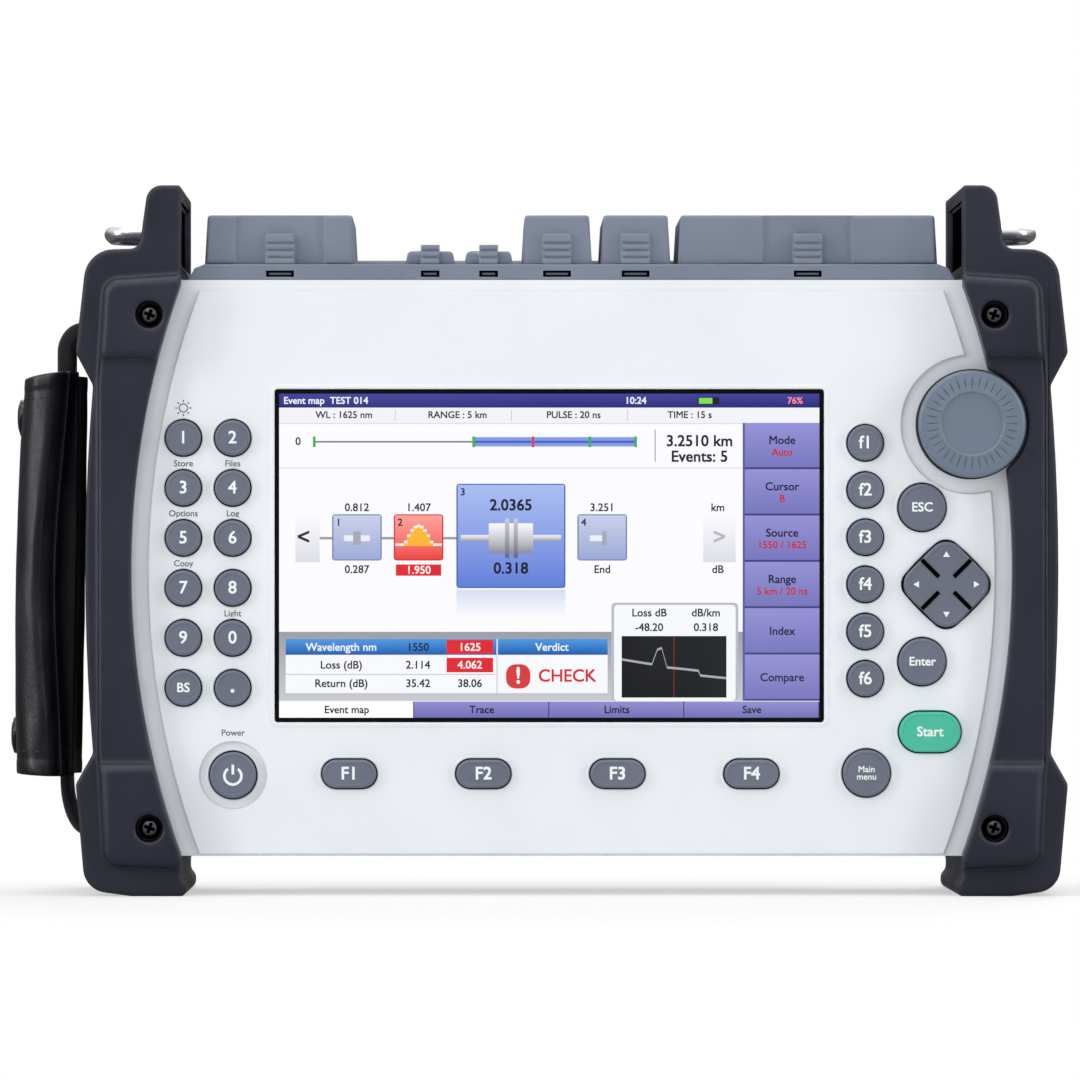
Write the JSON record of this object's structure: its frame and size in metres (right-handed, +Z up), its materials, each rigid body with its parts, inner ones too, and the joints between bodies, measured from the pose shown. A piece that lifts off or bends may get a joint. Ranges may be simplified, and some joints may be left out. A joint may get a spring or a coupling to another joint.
{
  "type": "optical time domain reflectometer",
  "caption": "Handheld instrument that measures optical fibres: wide colour display, keypads, dial, hinged connector covers along the top, rubber corner bumpers and a hand strap.",
  "frame": {"origin": "on the surface that the feet stand on, under the middle of the whole instrument's bounding box", "axes": "+Z up, the display faces -Y, +X to the right of someone who reads the display"},
  "size_m": [0.2973, 0.077, 0.2002],
  "materials": {
    "key_grey": "satin moulded caps",
    "start_green": "satin moulded cap",
    "panel_white": "fine moulded texture",
    "deck_grey": "fine moulded texture",
    "bumper_rubber": "matte moulded elastomer",
    "dark_plastic": "moulded texture",
    "ring_steel": "bright drawn wire and nickel plate",
    "snap_metal": "black lacquered press studs",
    "adapter_brass": "nickelled brass",
    "module_aluminium": "blasted",
    "board_green": "solder resist",
    "window_glass": "clear hard-coated window with black border",
    "strap_leather": "black vinyl leather with stitched hems",
    "webbing_black": "black woven webbing"
  },
  "bodies": {
    "instrument": {"front_panel": "panel_white", "rear_case": "panel_white", "case_gasket": "bumper_rubber", "connector_deck": "deck_grey", "cover_hinge_rod": "ring_steel", "optical_adapters": "adapter_brass", "data_ports": "ring_steel", "display_window": "window_glass", "display_module": "ring_steel", "key_board": "board_green", "main_board": "board_green", "optical_module": "module_aluminium", "battery_pack": "dark_plastic", "dial_encoder": "dark_plastic", "left_bumper": "bumper_rubber", "right_bumper": "bumper_rubber", "bumper_screws": "ring_steel", "strap_rings": "ring_steel", "hand_strap_sleeve": "strap_leather", "hand_strap_webbing": "webbing_black", "hand_strap_snaps": "snap_metal"},
    "key_1": {"key_1": "key_grey"},
    "key_2": {"key_2": "key_grey"},
    "key_3": {"key_3": "key_grey"},
    "key_4": {"key_4": "key_grey"},
    "key_5": {"key_5": "key_grey"},
    "key_6": {"key_6": "key_grey"},
    "key_7": {"key_7": "key_grey"},
    "key_8": {"key_8": "key_grey"},
    "key_9": {"key_9": "key_grey"},
    "key_0": {"key_0": "key_grey"},
    "key_back": {"key_back": "key_grey"},
    "key_dot": {"key_dot": "key_grey"},
    "key_power": {"key_power": "key_grey"},
    "key_F1": {"key_F1": "key_grey"},
    "key_F2": {"key_F2": "key_grey"},
    "key_F3": {"key_F3": "key_grey"},
    "key_F4": {"key_F4": "key_grey"},
    "key_side_1": {"key_side_1": "key_grey"},
    "key_side_2": {"key_side_2": "key_grey"},
    "key_side_3": {"key_side_3": "key_grey"},
    "key_side_4": {"key_side_4": "key_grey"},
    "key_side_5": {"key_side_5": "key_grey"},
    "key_side_6": {"key_side_6": "key_grey"},
    "key_escape": {"key_escape": "key_grey"},
    "key_enter": {"key_enter": "key_grey"},
    "key_menu": {"key_menu": "key_grey"},
    "key_start": {"key_start": "start_green"},
    "arrow_pad_pivot": {"arrow_pad_pivot": "dark_plastic"},
    "arrow_pad": {"arrow_pad": "key_grey"},
    "dial_knob": {"dial_knob": "key_grey"},
    "power_cover": {"power_cover": "deck_grey"},
    "usb_cover": {"usb_cover": "deck_grey"},
    "audio_cover": {"audio_cover": "deck_grey"},
    "fibre_cover_1": {"fibre_cover_1": "deck_grey"},
    "fibre_cover_2": {"fibre_cover_2": "deck_grey"},
    "meter_cover": {"meter_cover": "deck_grey"},
    "tilt_stand": {"tilt_stand": "dark_plastic"},
    "battery_door": {"battery_door": "panel_white"}
  },
  "joints": [
    {"name": "power_cover_hinge", "type": "hinge", "parent": "instrument", "child": "power_cover", "pos_m": [-0.0732, 0.0217, 0.1803], "axis": [-1, 0, 0], "range_deg": [0, 105]},
    {"name": "usb_cover_hinge", "type": "hinge", "parent": "instrument", "child": "usb_cover", "pos_m": [-0.0308, 0.0217, 0.1803], "axis": [-1, 0, 0], "range_deg": [0, 105]},
    {"name": "audio_cover_hinge", "type": "hinge", "parent": "instrument", "child": "audio_cover", "pos_m": [-0.0143, 0.0217, 0.1803], "axis": [-1, 0, 0], "range_deg": [0, 105]},
    {"name": "fibre_cover_1_hinge", "type": "hinge", "parent": "instrument", "child": "fibre_cover_1", "pos_m": [0.005, 0.0217, 0.1803], "axis": [-1, 0, 0], "range_deg": [0, 105]},
    {"name": "fibre_cover_2_hinge", "type": "hinge", "parent": "instrument", "child": "fibre_cover_2", "pos_m": [0.0272, 0.0217, 0.1803], "axis": [-1, 0, 0], "range_deg": [0, 105]},
    {"name": "meter_cover_hinge", "type": "hinge", "parent": "instrument", "child": "meter_cover", "pos_m": [0.0758, 0.0217, 0.1803], "axis": [-1, 0, 0], "range_deg": [0, 105]},
    {"name": "tilt_stand_hinge", "type": "hinge", "parent": "instrument", "child": "tilt_stand", "pos_m": [0.0091, 0.0331, 0.122], "axis": [1, 0, 0], "range_deg": [0, 40]},
    {"name": "battery_door_slide", "type": "slide", "parent": "instrument", "child": "battery_door", "axis": [0, 0, 1], "range_m": [0, 0.009]},
    {"name": "dial_turn", "type": "hinge", "parent": "instrument", "child": "dial_knob", "pos_m": [0.1216, -0.0305, 0.1329], "axis": [0, -1, 0], "continuous": true},
    {"name": "arrow_pad_up_down", "type": "hinge", "parent": "instrument", "child": "arrow_pad_pivot", "pos_m": [0.1147, -0.0243, 0.0878], "axis": [1, 0, 0], "range_deg": [-2.5, 2.5], "stiffness_Nm_per_rad": 0.3},
    {"name": "arrow_pad_left_right", "type": "hinge", "parent": "arrow_pad_pivot", "child": "arrow_pad", "pos_m": [0.1147, -0.0243, 0.0878], "axis": [0, 0, 1], "range_deg": [-2.5, 2.5], "stiffness_Nm_per_rad": 0.3},
    {"name": "key_1_press", "type": "slide", "parent": "instrument", "child": "key_1", "axis": [0, 1, 0], "range_m": [0, 0.0008], "stiffness_N_per_m": 800, "springref_m": -0.0005},
    {"name": "key_2_press", "type": "slide", "parent": "instrument", "child": "key_2", "axis": [0, 1, 0], "range_m": [0, 0.0008], "stiffness_N_per_m": 800, "springref_m": -0.0005},
    {"name": "key_3_press", "type": "slide", "parent": "instrument", "child": "key_3", "axis": [0, 1, 0], "range_m": [0, 0.0008], "stiffness_N_per_m": 800, "springref_m": -0.0005},
    {"name": "key_4_press", "type": "slide", "parent": "instrument", "child": "key_4", "axis": [0, 1, 0], "range_m": [0, 0.0008], "stiffness_N_per_m": 800, "springref_m": -0.0005},
    {"name": "key_5_press", "type": "slide", "parent": "instrument", "child": "key_5", "axis": [0, 1, 0], "range_m": [0, 0.0008], "stiffness_N_per_m": 800, "springref_m": -0.0005},
    {"name": "key_6_press", "type": "slide", "parent": "instrument", "child": "key_6", "axis": [0, 1, 0], "range_m": [0, 0.0008], "stiffness_N_per_m": 800, "springref_m": -0.0005},
    {"name": "key_7_press", "type": "slide", "parent": "instrument", "child": "key_7", "axis": [0, 1, 0], "range_m": [0, 0.0008], "stiffness_N_per_m": 800, "springref_m": -0.0005},
    {"name": "key_8_press", "type": "slide", "parent": "instrument", "child": "key_8", "axis": [0, 1, 0], "range_m": [0, 0.0008], "stiffness_N_per_m": 800, "springref_m": -0.0005},
    {"name": "key_9_press", "type": "slide", "parent": "instrument", "child": "key_9", "axis": [0, 1, 0], "range_m": [0, 0.0008], "stiffness_N_per_m": 800, "springref_m": -0.0005},
    {"name": "key_0_press", "type": "slide", "parent": "instrument", "child": "key_0", "axis": [0, 1, 0], "range_m": [0, 0.0008], "stiffness_N_per_m": 800, "springref_m": -0.0005},
    {"name": "key_back_press", "type": "slide", "parent": "instrument", "child": "key_back", "axis": [0, 1, 0], "range_m": [0, 0.0008], "stiffness_N_per_m": 800, "springref_m": -0.0005},
    {"name": "key_dot_press", "type": "slide", "parent": "instrument", "child": "key_dot", "axis": [0, 1, 0], "range_m": [0, 0.0008], "stiffness_N_per_m": 800, "springref_m": -0.0005},
    {"name": "key_power_press", "type": "slide", "parent": "instrument", "child": "key_power", "axis": [0, 1, 0], "range_m": [0, 0.0008], "stiffness_N_per_m": 800, "springref_m": -0.0005},
    {"name": "key_F1_press", "type": "slide", "parent": "instrument", "child": "key_F1", "axis": [0, 1, 0], "range_m": [0, 0.0008], "stiffness_N_per_m": 800, "springref_m": -0.0005},
    {"name": "key_F2_press", "type": "slide", "parent": "instrument", "child": "key_F2", "axis": [0, 1, 0], "range_m": [0, 0.0008], "stiffness_N_per_m": 800, "springref_m": -0.0005},
    {"name": "key_F3_press", "type": "slide", "parent": "instrument", "child": "key_F3", "axis": [0, 1, 0], "range_m": [0, 0.0008], "stiffness_N_per_m": 800, "springref_m": -0.0005},
    {"name": "key_F4_press", "type": "slide", "parent": "instrument", "child": "key_F4", "axis": [0, 1, 0], "range_m": [0, 0.0008], "stiffness_N_per_m": 800, "springref_m": -0.0005},
    {"name": "key_side_1_press", "type": "slide", "parent": "instrument", "child": "key_side_1", "axis": [0, 1, 0], "range_m": [0, 0.0008], "stiffness_N_per_m": 800, "springref_m": -0.0005},
    {"name": "key_side_2_press", "type": "slide", "parent": "instrument", "child": "key_side_2", "axis": [0, 1, 0], "range_m": [0, 0.0008], "stiffness_N_per_m": 800, "springref_m": -0.0005},
    {"name": "key_side_3_press", "type": "slide", "parent": "instrument", "child": "key_side_3", "axis": [0, 1, 0], "range_m": [0, 0.0008], "stiffness_N_per_m": 800, "springref_m": -0.0005},
    {"name": "key_side_4_press", "type": "slide", "parent": "instrument", "child": "key_side_4", "axis": [0, 1, 0], "range_m": [0, 0.0008], "stiffness_N_per_m": 800, "springref_m": -0.0005},
    {"name": "key_side_5_press", "type": "slide", "parent": "instrument", "child": "key_side_5", "axis": [0, 1, 0], "range_m": [0, 0.0008], "stiffness_N_per_m": 800, "springref_m": -0.0005},
    {"name": "key_side_6_press", "type": "slide", "parent": "instrument", "child": "key_side_6", "axis": [0, 1, 0], "range_m": [0, 0.0008], "stiffness_N_per_m": 800, "springref_m": -0.0005},
    {"name": "key_escape_press", "type": "slide", "parent": "instrument", "child": "key_escape", "axis": [0, 1, 0], "range_m": [0, 0.0008], "stiffness_N_per_m": 800, "springref_m": -0.0005},
    {"name": "key_enter_press", "type": "slide", "parent": "instrument", "child": "key_enter", "axis": [0, 1, 0], "range_m": [0, 0.0008], "stiffness_N_per_m": 800, "springref_m": -0.0005},
    {"name": "key_menu_press", "type": "slide", "parent": "instrument", "child": "key_menu", "axis": [0, 1, 0], "range_m": [0, 0.0008], "stiffness_N_per_m": 800, "springref_m": -0.0005},
    {"name": "key_start_press", "type": "slide", "parent": "instrument", "child": "key_start", "axis": [0, 1, 0], "range_m": [0, 0.0008], "stiffness_N_per_m": 800, "springref_m": -0.0005}
  ]
}
